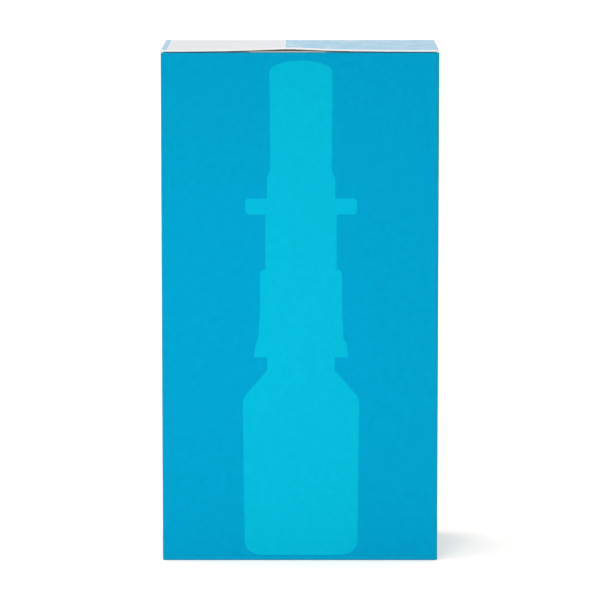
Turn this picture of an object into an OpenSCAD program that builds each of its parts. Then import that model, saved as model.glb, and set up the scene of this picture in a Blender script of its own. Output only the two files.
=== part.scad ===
// Glued folding carton that holds two capped pump spray bottles and a folded leaflet.
// Millimetres. X runs left to right as seen from the front, the front faces -Y, Z is up.
// The origin is the middle of the face that the carton stands on.

/* [Board] */
// thickness of the carton board
board_t = 0.4; // [0.35:0.05:0.6]
// inner radius of the upright folds
fold_in_r = 0.3; // [0.1:0.05:0.6]
// gap between two layers of folded flaps
layer_gap = 0.12; // [0.08:0.02:0.2]
// gap between a flap and the panel that it folds from
hinge_gap = 0.06; // [0.04:0.02:0.12]
// width of the side seam's glue flap
seam_w = 12; // [8:1:14]
// how far the glue flap stops short of the folds at both ends
seam_end = 3; // [2:0.5:6]

/* [Room in the carton] */
// gap between the two bottles
bottle_gap = 3.6; // [2:0.2:8]
// gap between a bottle and the side panel
side_room = 2.6; // [1:0.05:6]
// gap between a bottle and the front panel
front_room = 1.5; // [0.5:0.1:4]
// gap between the bottles and the leaflet
leaflet_room = 1.75; // [0.5:0.05:4]
// gap between the leaflet and the back panel
back_room = 1; // [0.5:0.1:2]
// gap between the caps and the flaps over them
head_room = 0.8; // [0.3:0.05:2]

/* [Flaps] */
// how far an outer flap stops inside the outline at its three free edges
lid_inset = 0.1; // [0.05:0.05:0.4]
// how far the lid springs up at the crest of its free edge
lid_spring = 0.6; // [0.2:0.1:1.2]
// distance from that crest to where half of the rise is left
lid_spring_w = 9; // [5:0.5:14]
// how far that crest lies to the left of the carton's middle
lid_spring_x = 2.8; // [0:0.2:6]
// share of that rise to which the inner flap under it springs up
inner_spring = 0.7; // [0.3:0.05:0.9]
// distance from the inner flap's fold to where it stands highest
inner_spring_l = 2.2; // [1:0.1:4]
// how far an inner flap stops short of the middle of the carton
inner_flap_short = 2; // [1:0.1:6]
// slant of an inner flap's side edges, in mm over its length
inner_flap_slant = 1.5; // [0.5:0.1:3]
// length of the dust flaps from their fold
dust_flap_l = 18; // [10:0.5:22]
// slant of a top dust flap's front edge, in mm per mm
dust_slant_front = 0.62; // [0.6:0.01:0.7]
// slant of a top dust flap's back edge, in mm per mm
dust_slant_back = 0.56; // [0.54:0.01:0.65]
// slant of both edges of a bottom dust flap, in mm per mm
dust_slant_bottom = 0.12; // [0.05:0.01:0.3]
// cut between the ends of neighbouring flaps
flap_relief = 0.6; // [0.3:0.1:1.2]
// cut-off at the free corners of the inner and dust flaps
flap_corner = 1.6; // [0.8:0.1:2.5]
// diameter of a spot of glue
glue_d = 5; // [3:0.5:8]
// gap left over a spot of glue between the two flaps
glue_room = 0.05; // [0.03:0.01:0.07]
// distance between the two spots of glue on an inner flap
glue_pitch = 34; // [24:1:40]

/* [Leaflet] */
// thickness of the leaflet's paper
paper_t = 0.2; // [0.1:0.05:0.3]
// gap between two panels of the folded leaflet
paper_gap = 0.3; // [0.15:0.05:0.5]
// number of panels that the leaflet is folded into
leaflet_panels = 8; // [4:2:12]
// width of the folded leaflet
leaflet_w = 46; // [30:1:56]
// height of the folded leaflet
leaflet_h = 96; // [60:1:110]

/* [Bottle] */
// outer diameter of the bottle
bottle_d = 27.2; // [24:0.2:32]
// thickness of the glass wall
glass_t = 1.4; // [1:0.1:2]
// thickness of the glass under the contents
base_t = 2; // [1.5:0.1:3]
// height of the pushed-up middle of the base
base_punt = 0.8; // [0.4:0.1:1.2]
// width of the ring that the bottle stands on
foot_ring_w = 1.3; // [0.8:0.1:3]
// width of the rounded heel
heel_w = 5; // [3.5:0.1:6]
// height of the rounded heel
heel_h = 3.6; // [3:0.1:5]
// radius inside the heel
heel_in_r = 2.6; // [1.5:0.1:4]
// height of the straight side, from the table
body_h = 36.1; // [30:0.1:60]
// radius of the shoulder's round
shoulder_r = 3.8; // [2.5:0.1:5]
// outer diameter of the neck
neck_d = 15.6; // [14:0.1:18]
// thickness of the glass in the neck
neck_t = 2.2; // [1.6:0.1:2.6]
// fillet between shoulder and neck
neck_fillet = 1; // [0.5:0.1:1.5]
// length of bare neck under the collar
neck_show = 3.1; // [2:0.1:6]
// how far the snap bead stands out from the neck
bead_w = 0.95; // [0.6:0.05:1.4]
// height of the snap bead
bead_h = 3.4; // [2.5:0.1:4.5]
// rounding of the mouth's edge
mouth_edge = 0.5; // [0.2:0.1:0.8]
// how far the liquid stands below the top of the straight side
fill_drop = 0.4; // [0:0.1:10]
// gap between the liquid and what it touches
liquid_gap = 0.08; // [0.04:0.02:0.2]

/* [Collar] */
// wall of the collar
collar_t = 0.95; // [0.7:0.05:1.4]
// how far the collar's foot flares out
flare_w = 1.13; // [0.5:0.01:2]
// height of the flare at the foot
flare_h = 4.1; // [3:0.1:6]
// height of the upright edge under the flare
flare_edge = 0.5; // [0.3:0.1:1]
// depth of the snap lug under the bead
lug_h = 2.3; // [1.6:0.1:3.5]
// chamfer that leads the lug over the bead
lug_lead = 0.8; // [0.4:0.1:1.2]
// radius of the collar's top edge
collar_edge = 0.7; // [0.3:0.1:0.8]
// thickness of the web that clamps the pump
web_t = 1.2; // [0.8:0.1:2]
// length of the nozzle's skirt inside the collar at rest
skirt_overlap = 5.23; // [3:0.01:8]

/* [Nozzle] */
// gap between the pump's turret and the skirt round it
turret_room = 1.92; // [1:0.02:3]
// wall of the skirt that slides in the collar
skirt_t = 1; // [0.8:0.1:1.3]
// room for fingers between collar and flange at the end of the stroke
finger_room = 7.96; // [5:0.04:14]
// how far the finger flange stops inside the bottle's outline
flange_inset = 0.75; // [0.3:0.05:2]
// height of the finger flange
flange_h = 3.74; // [3:0.02:5]
// wall of the finger flange
flange_t = 1.3; // [1:0.1:1.6]
// edge radius of the finger flange
flange_edge = 0.9; // [0.4:0.1:1]
// number of ribs under the flange
flange_ribs = 12; // [6:1:20]
// thickness of those ribs
flange_rib_t = 0.8; // [0.6:0.1:1.2]
// width of a finger ridge and of the groove beside it
ridge_w = 0.7; // [0.5:0.1:0.8]
// height of the finger ridges
ridge_h = 0.25; // [0.1:0.05:0.4]
// height of the ring that the cap grips
cap_seat_h = 3.5; // [2.5:0.1:4.5]
// how far that ring stands out from the nozzle
cap_seat_w = 0.87; // [0.6:0.01:1.2]
// chamfer on that ring
cap_seat_edge = 0.4; // [0.2:0.1:0.5]
// height of the nozzle over the flange
nozzle_h = 25; // [20:0.5:32]
// diameter of the nozzle over the cap ring
nozzle_base_d = 11.4; // [10:0.1:13]
// diameter of the nozzle at its tip
nozzle_tip_d = 6.6; // [5.8:0.1:8]
// wall of the nozzle
nozzle_t = 1.2; // [0.9:0.1:1.5]
// length of the solid part of the nozzle's tip
nozzle_solid_h = 8; // [6:0.5:12]
// bore of the feed tube inside the nozzle
feed_bore_d = 1.6; // [1:0.1:2]
// wall of the feed tube
feed_t = 1.1; // [0.8:0.1:1.3]
// diameter of the spray insert
insert_d = 3.3; // [2.8:0.1:3.6]
// length of the spray insert
insert_l = 3.3; // [2.6:0.1:4]
// diameter of the spray hole
orifice_d = 0.5; // [0.3:0.1:0.8]
// depth of the dish round the spray hole, and of the skin under it
orifice_dish = 0.4; // [0.3:0.05:0.6]

/* [Cap] */
// wall of the cap
cap_t = 1.15; // [0.8:0.05:1.3]
// room over the nozzle's tip inside the cap
cap_room = 5.55; // [3:0.05:10]
// how far the cap is drawn in over its band
cap_step = 0.62; // [0.3:0.02:0.8]
// how far the band reaches over the ring that it grips
cap_band_over = 1.4; // [0.8:0.1:4]
// height of the slope over the band
cap_slope_h = 1.5; // [0.8:0.1:3]
// height of the dome
cap_dome_h = 2.7; // [1.8:0.1:5]
// chamfer on the foot of the band
cap_foot = 0.25; // [0.1:0.05:0.5]

/* [Pump] */
// full stroke of the pump
stroke = 5; // [3:0.1:6]
// thickness of the sealing gasket
gasket_t = 0.9; // [0.6:0.1:1.5]
// thickness of the pump's clamped flange
pump_flange_t = 1.5; // [1:0.1:2]
// gap between the pump chamber and the bottle's neck
chamber_gap = 0.3; // [0.2:0.05:0.6]
// wall of the pump chamber
chamber_t = 1.1; // [0.8:0.1:1.4]
// height of the turret over the clamped flange
turret_h = 4.5; // [4:0.1:7]
// depth of the stem guide in the turret
guide_h = 2.5; // [1.5:0.1:3]
// thickness of the stem guide's lip
guide_lip_t = 0.8; // [0.5:0.1:1.2]
// diameter of the stem
stem_d = 4; // [3.6:0.1:4.4]
// bore of the stem
stem_bore_d = 1.4; // [1:0.1:1.8]
// depth of the stem's socket in the nozzle
stem_socket_h = 6; // [4:0.5:9]
// height of the piston
piston_h = 5; // [4:0.1:7]
// thickness of the piston's floor
piston_floor_t = 1; // [0.6:0.1:1.5]
// height of each of the piston's lips
lip_h = 1.1; // [0.8:0.1:1.3]
// depth of the waist between the lips
lip_w = 0.7; // [0.4:0.1:1]
// length of the return spring at the end of the stroke
spring_pressed_l = 5.5; // [5.2:0.1:8]
// gap between the spring and the chamber
spring_gap = 1; // [0.6:0.1:1.2]
// diameter of the spring's wire
wire_d = 0.6; // [0.4:0.05:0.7]
// number of turns of the spring
spring_turns = 6; // [4:1:7]
// thickness of the ledge that carries the spring
ledge_t = 0.7; // [0.5:0.1:1.2]
// how far that ledge reaches over the check ball
ledge_over = 0.3; // [0.2:0.05:0.5]
// diameter of the check ball
ball_d = 3; // [2.4:0.1:3.4]
// how far the check ball can lift
ball_lift = 0.6; // [0.4:0.1:1]
// gap round the check ball
ball_gap = 0.2; // [0.15:0.05:0.4]
// bore under the check ball
inlet_d = 1.6; // [1.2:0.1:1.8]
// length of that bore
inlet_l = 1.2; // [0.8:0.1:2]
// bore of the dip tube
tube_bore_d = 1.6; // [1.2:0.1:2]
// wall of the dip tube
tube_t = 0.7; // [0.5:0.1:1]
// slant of the dip tube's foot, in degrees
tube_slant = 40; // [20:5:50]
// depth of the dip tube in its socket
tube_socket_h = 5; // [3:0.5:6]
// gap between the dip tube and the bottom of the bottle
tube_floor_gap = 1.2; // [0.8:0.1:3]
// wall round the ball and the dip tube
valve_wall = 1.1; // [0.8:0.1:1.4]

/* [Fits] */
// gap between pieces that are clamped or pushed together
seat_gap = 0.04; // [0.02:0.01:0.08]
// gap round a sliding stem or piston
slide_gap = 0.1; // [0.05:0.01:0.15]
// gap between the skirt and the collar
skirt_gap = 0.3; // [0.2:0.02:0.4]
// gap between the collar and what it snaps over or passes
snap_gap = 0.12; // [0.08:0.02:0.2]
// gap left below moving pieces at the end of the stroke
end_gap = 0.6; // [0.4:0.1:1.2]
// gap between the cap and the nozzle's ring
cap_gap = 0.08; // [0.04:0.01:0.15]

/* [Hidden] */
$fn = 64;

SIDES = ["left", "right"];
BOTTLE_NODES = ["bottle", "solution", "collar", "gasket", "pump_body", "stem_guide", "dip_tube",
    "check_ball", "return_spring", "piston", "stem", "nozzle", "spray_insert", "cap"];
CARTON_NODES = ["carton_sleeve", "top_outer_flap", "top_inner_flap", "top_left_dust_flap",
    "top_right_dust_flap", "top_glue_spots", "bottom_outer_flap", "bottom_inner_flap",
    "bottom_left_dust_flap", "bottom_right_dust_flap", "bottom_glue_spots", "folded_leaflet"];

// colours
CYAN = [0.0, 0.63, 0.8];
BOARD = [0.93, 0.93, 0.9];
PAPER = [0.97, 0.97, 0.95];
GLUE = [0.9, 0.86, 0.7];
AMBER = [0.55, 0.27, 0.06, 0.6];
LIQUID = [0.9, 0.92, 0.9, 0.6];
WHITE = [0.95, 0.96, 0.96];
NATURAL = [0.88, 0.9, 0.9, 0.8];
STEEL = [0.7, 0.72, 0.74];
GASKET = [0.25, 0.26, 0.28];

// radii of the bottle and of what goes into its neck, from the glass inwards
bottle_r = bottle_d / 2;
bottle_in_r = bottle_r - glass_t;
neck_r = neck_d / 2;
neck_bore_r = neck_r - neck_t;
bead_r = neck_r + bead_w;
chamber_r = neck_bore_r - chamber_gap;
chamber_bore_r = chamber_r - chamber_t;
pump_flange_r = bead_r - snap_gap;
stem_r = stem_d / 2;
ball_r = ball_d / 2;
pocket_r = ball_r + ball_gap;
inlet_r = inlet_d / 2;
tube_r = tube_bore_d / 2 + tube_t;
valve_r = pocket_r + valve_wall;
tube_socket_r = tube_r + valve_wall;

// radii of what goes over the neck, from the pump outwards
skirt_r = chamber_r + turret_room + skirt_t;
collar_guide_r = skirt_r + skirt_gap;
collar_top_r = collar_guide_r + collar_t;
collar_in_r = bead_r + snap_gap;
collar_mid_r = collar_in_r + collar_t;
flange_r = bottle_r - flange_inset;
cap_seat_r = nozzle_base_d / 2 + cap_seat_w;
cap_grip_r = cap_seat_r + cap_gap;
cap_band_r = cap_grip_r + cap_t;
cap_r = cap_band_r - cap_step;
insert_r = insert_d / 2;

// heights of the bottle, from the face that it stands on
cone_z = body_h + shoulder_r * sin(45);
cone_r = bottle_r - shoulder_r * (1 - cos(45));
neck_z = cone_z + cone_r - neck_r;
collar_z = neck_z + neck_show;
bead_z = collar_z + lug_h;
mouth_z = bead_z + bead_h;
fill_z = body_h - fill_drop;

// heights of the stack that the collar clamps on the mouth
gasket_z = mouth_z + seat_gap;
pump_flange_z = gasket_z + gasket_t + seat_gap;
web_z = pump_flange_z + pump_flange_t + seat_gap;
turret_top = pump_flange_z + pump_flange_t + turret_h;
guide_top = turret_top + seat_gap + guide_lip_t;

// heights of what moves with the stroke
piston_top = turret_top - guide_h - seat_gap;
piston_z = piston_top - piston_h;
piston_floor_z = piston_z + piston_floor_t;
spring_l = spring_pressed_l + stroke;
chamber_z = piston_z - spring_l;
socket_z = guide_top + stroke + end_gap;
socket_top = socket_z + stem_socket_h;
skirt_z = web_z + web_t + stroke + end_gap;
collar_top = skirt_z + skirt_overlap;
flange_z = collar_top + stroke + finger_room;
flange_top = flange_z + flange_h;
flange_floor_z = flange_top - flange_t;
nozzle_top = flange_top + nozzle_h;
cap_z = flange_top + seat_gap;
cap_top = nozzle_top + cap_room + cap_t;

// heights of the valve under the chamber
pocket_top = chamber_z - ledge_t;
ball_seat_rise = ball_r * sqrt(2) - inlet_r;
ball_z = pocket_top - ball_lift - seat_gap - ball_r;
inlet_top = ball_z - seat_gap - ball_seat_rise;
tube_top = inlet_top - inlet_l;
tube_socket_z = tube_top - tube_socket_h;
tube_z = base_t + base_punt + tube_floor_gap;
nose_z = tube_top - valve_wall;

// carton
fold_r = board_t + fold_in_r;
paper_pitch = paper_t + paper_gap;
leaflet_t = (leaflet_panels - 1) * paper_pitch + paper_t;
carton_w = 2 * bottle_d + bottle_gap + 2 * side_room + 2 * board_t;
carton_d = bottle_d + front_room + leaflet_room + leaflet_t + back_room + 2 * board_t;
end_stack = 3 * board_t + 2 * layer_gap;
floor_z = end_stack + layer_gap;
carton_h = floor_z + cap_top + head_room + end_stack;
bottle_x = (bottle_d + bottle_gap) / 2;
bottle_y = -carton_d / 2 + board_t + front_room + bottle_r;
leaflet_y = carton_d / 2 - board_t - back_room - leaflet_t;

// levels of the top layers; the bottom ones mirror them
lid_top = carton_h;
inner_top = lid_top - board_t - layer_gap;
dust_top = inner_top - board_t - layer_gap;
flap_root = board_t + hinge_gap;
flap_end = fold_r + flap_relief;
lid_w = carton_w - 2 * lid_inset;
lid_l = carton_d - lid_inset - flap_root;
inner_flap_l = carton_d / 2 - inner_flap_short;
glue_t = layer_gap - glue_room;
spring_half_w = (glue_pitch - glue_d) / 2 - lid_spring_x;
glue_lap = glue_d / 6;

// points of a round stretch of an outline
function arc(c, rx, ry, a0, a1, n = 6) =
    [for (i = [0:n]) let (a = a0 + (a1 - a0) * i / n) [c[0] + rx * cos(a), c[1] + ry * sin(a)]];

module turned(points) {
    rotate_extrude() polygon(points);
}

module tube(r_out, r_in, z0, z1) {
    translate([0, 0, z0]) difference() {
        cylinder(r = r_out, h = z1 - z0);
        translate([0, 0, -1]) cylinder(r = r_in, h = z1 - z0 + 2);
    }
}

// puts a piece where the left or right bottle stands
module on_bottle(side) {
    translate([side == "left" ? -bottle_x : bottle_x, bottle_y, floor_z]) children();
}

// turns a piece of the top closure into its twin at the bottom, where the front panel has the outer flap
module at_bottom() {
    translate([0, 0, carton_h]) rotate([180, 0, 0]) children();
}

// Carton

module rounded_rect(w, d, r) {
    square([w - 2 * r, d], center = true);
    square([w, d - 2 * r], center = true);
    for (x = [-1, 1])
        for (y = [-1, 1])
            translate([x * (w / 2 - r), y * (d / 2 - r)]) circle(r);
}

// section of a panel whose upper and lower outer edges are folds
module panel_section(z0, z1) {
    translate([0, z0 + board_t]) square([board_t, z1 - z0 - 2 * board_t]);
    intersection() {
        translate([0, z0]) square([board_t, z1 - z0]);
        for (z = [z0 + board_t, z1 - board_t]) translate([board_t, z]) circle(board_t);
    }
}

// front panel, or the back panel when mirrored
module wide_panel(z0, z1) {
    w = carton_w - 2 * fold_r;
    translate([-w / 2, -carton_d / 2, 0])
        rotate([90, 0, 90]) linear_extrude(w) panel_section(z0, z1);
}

// left panel, or the right panel when mirrored
module narrow_panel(z0, z1) {
    d = carton_d - 2 * fold_r;
    translate([-carton_w / 2, d / 2, 0])
        rotate([90, 0, 0]) linear_extrude(d) panel_section(z0, z1);
}

// seam flap glued to the inside of the left panel, with its ends cut at 45 degrees
module seam_flap() {
    z0 = carton_h - dust_top + seam_end;
    z1 = dust_top - seam_end;
    y1 = carton_d / 2 - board_t;
    translate([-carton_w / 2 + board_t, 0, 0])
        rotate([90, 0, 90]) linear_extrude(board_t)
            polygon([[y1, z0], [y1, z1], [y1 - seam_w, z1 - seam_w], [y1 - seam_w, z0 + seam_w]]);
}

// plan of the four walls with their rounded upright folds
module wall_plan() {
    difference() {
        rounded_rect(carton_w, carton_d, fold_r);
        rounded_rect(carton_w - 2 * board_t, carton_d - 2 * board_t, fold_r - board_t);
    }
}

module carton_sleeve() {
    low = carton_h - dust_top;
    corner_low = carton_h - inner_top;
    color(CYAN) union() {
        translate([0, 0, low + board_t])
            linear_extrude(dust_top - low - 2 * board_t) wall_plan();
        translate([0, 0, corner_low])
            linear_extrude(inner_top - corner_low) intersection() {
                wall_plan();
                for (x = [-1, 1])
                    for (y = [-1, 1])
                        translate([x * carton_w / 2, y * carton_d / 2])
                            square(2 * fold_r, center = true);
            }
        wide_panel(0, inner_top);
        mirror([0, 1, 0]) wide_panel(carton_h - inner_top, lid_top);
        narrow_panel(low, dust_top);
        mirror([1, 0, 0]) narrow_panel(low, dust_top);
        seam_flap();
    }
}

// full flap over the whole end, pressed flat
module outer_flap() {
    translate([-lid_w / 2, -carton_d / 2 + lid_inset, lid_top - board_t]) cube([lid_w, lid_l, board_t]);
}

// how far the lid stands up at x, at a share s of the way from its fold to its free edge
function lid_rise(x, s) = lid_spring * pow(s, 1.5) / (1 + pow((x + lid_spring_x) / lid_spring_w, 2));

// how far the inner flap stands up at x, at a distance from its fold
function inner_rise(x, d) = let (
    across = max(0, 1 - pow((x + lid_spring_x) / spring_half_w, 4)),
    near = (d - flap_root) / inner_spring_l,
    far = (inner_flap_l - d) / (inner_flap_l - flap_root - inner_spring_l)
) inner_spring * lid_spring * across * (near < 1 ? sin(90 * near) : far);

// board under a grid of points: rows from back to front, each with its points from left to right
module board_sheet(grid) {
    rows = len(grid) - 1;
    columns = len(grid[0]) - 1;
    row = columns + 1;
    layer = row * (rows + 1);
    points = [for (z = [-board_t, 0]) for (line = grid) for (p = line) [p[0], p[1], p[2] + z]];
    faces = [
        for (j = [0:rows - 1])
            for (i = [0:columns - 1])
                let (a = j * row + i, b = a + row, c = a + layer, d = b + layer)
                for (f = [[a, b, a + 1], [b, b + 1, a + 1], [c, c + 1, d], [d, c + 1, d + 1]]) f
    ];
    // each edge pairs a lower point with the next one along the rim
    rim = concat(
        [for (i = [0:columns - 1]) [i, i + 1]],
        [for (j = [0:rows - 1]) [j * row + columns, (j + 1) * row + columns]],
        [for (i = [columns - 1:-1:0]) [rows * row + i + 1, rows * row + i]],
        [for (j = [rows - 1:-1:0]) [(j + 1) * row, j * row]]
    );
    edges = [for (e = rim) for (f = [[e[0], e[1], e[0] + layer], [e[1], e[1] + layer, e[0] + layer]]) f];
    polyhedron(points, concat(faces, edges));
}

// full flap as the lid, folded from the back panel, whose free edge springs up between the spots of glue
module sprung_outer_flap() {
    columns = 20;
    rows = 4;
    board_sheet([
        for (j = [0:rows]) [
            for (i = [0:columns])
                let (x = lid_w * (i / columns - 0.5), s = j / rows)
                [x, carton_d / 2 - flap_root - lid_l * s, lid_top + lid_rise(x, s)]
        ]
    ]);
}

// half-depth flap under the lid, folded from the front panel, which presses the lid up behind the fold
module sprung_inner_flap() {
    columns = 24;
    root = carton_w / 2 - flap_end;
    side_l = inner_flap_l - flap_corner;
    peak = flap_root + inner_spring_l;
    // a column rises where the next one outward keeps off the glue, or laps the edge of a spot a little
    rise_end = (glue_pitch - glue_d) / 2 + glue_lap;
    board_sheet([
        for (d = [inner_flap_l, side_l, (peak + side_l) / 2, peak, peak - inner_spring_l / 4,
                peak - inner_spring_l / 2, peak - 3 * inner_spring_l / 4, flap_root]) [
            for (i = [0:columns])
                let (
                    w = d > side_l ? root - inner_flap_slant - flap_corner
                        : root - inner_flap_slant * (d - flap_root) / (side_l - flap_root),
                    x = w * (2 * i / columns - 1),
                    rises = abs(x) + 2 * w / columns < rise_end
                )
                [x, d - carton_d / 2, inner_top + (rises ? inner_rise(x, d) : 0)]
        ]
    ]);
}

// half-depth flap, pressed flat
module inner_flap() {
    root = carton_w / 2 - flap_end;
    tip = root - inner_flap_slant;
    translate([0, -carton_d / 2, inner_top - board_t]) linear_extrude(board_t)
        polygon([
            [-root, flap_root], [root, flap_root],
            [tip, inner_flap_l - flap_corner], [tip - flap_corner, inner_flap_l],
            [-tip + flap_corner, inner_flap_l], [-tip, inner_flap_l - flap_corner]
        ]);
}

// tapered flap folded from the left panel
module dust_flap(slant_front, slant_back) {
    root = carton_d / 2 - flap_end;
    run = dust_flap_l - flap_root;
    side = run - flap_corner;
    translate([-carton_w / 2 + flap_root, 0, dust_top - board_t]) linear_extrude(board_t)
        polygon([
            [0, -root], [side, -root + slant_front * side],
            [run, -root + slant_front * run + flap_corner],
            [run, root - slant_back * run - flap_corner],
            [side, root - slant_back * side], [0, root]
        ]);
}

// two flat spots of hot glue between the inner and the outer flap
module glue_spots() {
    for (x = [-1, 1])
        translate([x * glue_pitch / 2, -carton_d / 2 + inner_flap_l / 2, inner_top])
            cylinder(d = glue_d, h = glue_t);
}

module top_outer_flap() {
    color(CYAN) sprung_outer_flap();
}

module top_inner_flap() {
    color(BOARD) sprung_inner_flap();
}

module top_left_dust_flap() {
    color(BOARD) dust_flap(dust_slant_front, dust_slant_back);
}

module top_right_dust_flap() {
    color(BOARD) mirror([1, 0, 0]) dust_flap(dust_slant_front, dust_slant_back);
}

module top_glue_spots() {
    color(GLUE) glue_spots();
}

module bottom_outer_flap() {
    color(CYAN) at_bottom() outer_flap();
}

module bottom_inner_flap() {
    color(BOARD) at_bottom() inner_flap();
}

module bottom_left_dust_flap() {
    color(BOARD) at_bottom() dust_flap(dust_slant_bottom, dust_slant_bottom);
}

module bottom_right_dust_flap() {
    color(BOARD) at_bottom() mirror([1, 0, 0]) dust_flap(dust_slant_bottom, dust_slant_bottom);
}

module bottom_glue_spots() {
    color(GLUE) at_bottom() glue_spots();
}

// one sheet folded to and fro, standing behind the bottles
module folded_leaflet() {
    turn_r = (paper_pitch + paper_t) / 2;
    leg = leaflet_w - 2 * turn_r;
    color(PAPER) translate([0, leaflet_y, floor_z]) linear_extrude(leaflet_h) union() {
        for (i = [0:leaflet_panels - 1])
            translate([-leg / 2, i * paper_pitch]) square([leg, paper_t]);
        for (i = [0:leaflet_panels - 2])
            translate([(i % 2 == 0 ? 1 : -1) * leg / 2, i * paper_pitch + turn_r])
                intersection() {
                    difference() {
                        circle(turn_r);
                        circle(turn_r - paper_t);
                    }
                    translate([i % 2 == 0 ? 0 : -turn_r, -turn_r]) square([turn_r, 2 * turn_r]);
                }
    }
}

// Bottle and contents

module bottle() {
    ring_r = bottle_r - heel_w;
    round_c = [bottle_r - shoulder_r, body_h];
    in_round = shoulder_r - glass_t;
    in_cone_r = round_c[0] + in_round * cos(45);
    in_cone_z = body_h + in_round * sin(45);
    in_neck_z = in_cone_z + in_cone_r - neck_bore_r;
    fillet_z = neck_z + neck_fillet * (sqrt(2) - 1);
    color(AMBER) turned(concat(
        [[0, base_punt], [ring_r - foot_ring_w - base_punt, base_punt], [ring_r - foot_ring_w, 0]],
        arc([ring_r, heel_h], heel_w, heel_h, -90, 0),
        arc(round_c, shoulder_r, shoulder_r, 0, 45, 4),
        arc([neck_r + neck_fillet, fillet_z], neck_fillet, neck_fillet, 225, 180, 3),
        [[neck_r, bead_z], [bead_r, bead_z + bead_w]],
        [[bead_r, mouth_z - mouth_edge], [bead_r - mouth_edge, mouth_z]],
        [[neck_bore_r, mouth_z], [neck_bore_r, in_neck_z]],
        arc(round_c, in_round, in_round, 45, 0, 4),
        arc([bottle_in_r - heel_in_r, base_t + heel_in_r], heel_in_r, heel_in_r, 0, -90, 4),
        [[0, base_t + base_punt]]
    ));
}

module solution() {
    in_r = bottle_in_r - liquid_gap;
    bottom = base_t + liquid_gap;
    color(LIQUID) difference() {
        turned(concat(
            [[0, bottom + base_punt]],
            arc([in_r - heel_in_r, bottom + heel_in_r], heel_in_r, heel_in_r, -90, 0, 4),
            [[in_r, fill_z], [0, fill_z]]
        ));
        translate([0, 0, tube_z - liquid_gap]) cylinder(r = tube_r + liquid_gap, h = fill_z);
        translate([0, 0, tube_socket_z - liquid_gap])
            cylinder(r = tube_socket_r + liquid_gap, h = fill_z);
        translate([0, 0, nose_z - liquid_gap])
            cylinder(r = valve_r + liquid_gap, h = fill_z);
    }
}

// snap collar that clamps the pump on the bottle and guides the nozzle's skirt
module collar() {
    lug_r = neck_r + snap_gap;
    foot_r = collar_mid_r + flare_w;
    hole_r = chamber_r + snap_gap;
    color(WHITE) turned(concat(
        [[lug_r + lug_lead, collar_z], [foot_r, collar_z], [foot_r, collar_z + flare_edge]],
        [[collar_mid_r, collar_z + flare_h]],
        arc([collar_top_r - collar_edge, collar_top - collar_edge], collar_edge, collar_edge, 0, 90, 3),
        [[collar_guide_r, collar_top], [collar_guide_r, web_z + web_t]],
        [[hole_r, web_z + web_t], [hole_r, web_z], [collar_in_r, web_z]],
        [[collar_in_r, bead_z + bead_w], [lug_r, bead_z], [lug_r, collar_z + lug_lead]]
    ));
}

module gasket() {
    color(GASKET) tube(pump_flange_r, chamber_r + snap_gap, gasket_z, gasket_z + gasket_t);
}

// Pump

// chamber, clamped flange, turret, ball pocket and dip tube socket in one moulding
module pump_body() {
    ledge_r = ball_r - ledge_over;
    socket_r = tube_r + seat_gap;
    color(NATURAL) turned([
        [socket_r, tube_socket_z], [tube_socket_r, tube_socket_z], [tube_socket_r, nose_z],
        [valve_r, nose_z], [valve_r, pocket_top - valve_wall], [chamber_r, pocket_top + valve_wall],
        [chamber_r, pump_flange_z], [pump_flange_r, pump_flange_z],
        [pump_flange_r, pump_flange_z + pump_flange_t], [chamber_r, pump_flange_z + pump_flange_t],
        [chamber_r, turret_top], [chamber_bore_r, turret_top], [chamber_bore_r, chamber_z],
        [ledge_r, chamber_z], [ledge_r, pocket_top], [pocket_r, pocket_top],
        [pocket_r, inlet_top + pocket_r - inlet_r], [inlet_r, inlet_top],
        [inlet_r, tube_top], [socket_r, tube_top]
    ]);
}

// bush that closes the chamber and guides the stem
module stem_guide() {
    plug_r = chamber_bore_r - seat_gap;
    bore_r = stem_r + slide_gap;
    color(WHITE) turned([
        [bore_r, turret_top - guide_h], [plug_r, turret_top - guide_h],
        [plug_r, turret_top + seat_gap], [chamber_r, turret_top + seat_gap],
        [chamber_r, guide_top], [bore_r, guide_top]
    ]);
}

// dip tube with its foot cut on the slant
module dip_tube() {
    cutter = 4 * tube_r;
    color(NATURAL) difference() {
        tube(tube_r, tube_bore_d / 2, tube_z, tube_top - seat_gap);
        translate([-tube_r, 0, tube_z]) rotate([0, -tube_slant, 0])
            translate([0, -cutter / 2, -cutter]) cube(cutter);
    }
}

module check_ball() {
    color(STEEL) translate([0, 0, ball_z]) sphere(ball_r);
}

// round wire wound in one helix between the ledge and the piston
module return_spring() {
    sides = 6;
    rings = 8 * spring_turns;
    wire_r = wire_d / 2;
    coil_r = chamber_bore_r - spring_gap - wire_r;
    z0 = chamber_z + wire_r + seat_gap;
    rise = spring_l - wire_d - 2 * seat_gap;
    tilt = atan(rise / (spring_turns * 2 * PI * coil_r));
    points = [
        for (i = [0:rings])
            for (j = [0:sides - 1])
                let (
                    turn = 360 * spring_turns * i / rings,
                    a = 360 * j / sides,
                    out = coil_r + wire_r * cos(a),
                    back = wire_r * sin(a) * sin(tilt)
                )
                [
                    out * cos(turn) + back * sin(turn),
                    out * sin(turn) - back * cos(turn),
                    z0 + rise * i / rings + wire_r * sin(a) * cos(tilt)
                ]
    ];
    walls = [
        for (i = [0:rings - 1])
            for (j = [0:sides - 1])
                let (p = i * sides + j, q = i * sides + (j + 1) % sides)
                for (f = [[p, q + sides, q], [p, p + sides, q + sides]]) f
    ];
    ends = [
        for (j = [1:sides - 2])
            for (f = [[0, j, j + 1], [rings * sides, rings * sides + j + 1, rings * sides + j]]) f
    ];
    echo(str("gap between the spring's turns: ", rise / spring_turns * cos(tilt) - wire_d, " mm"));
    color(STEEL) polyhedron(points, concat(walls, ends));
}

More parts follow.
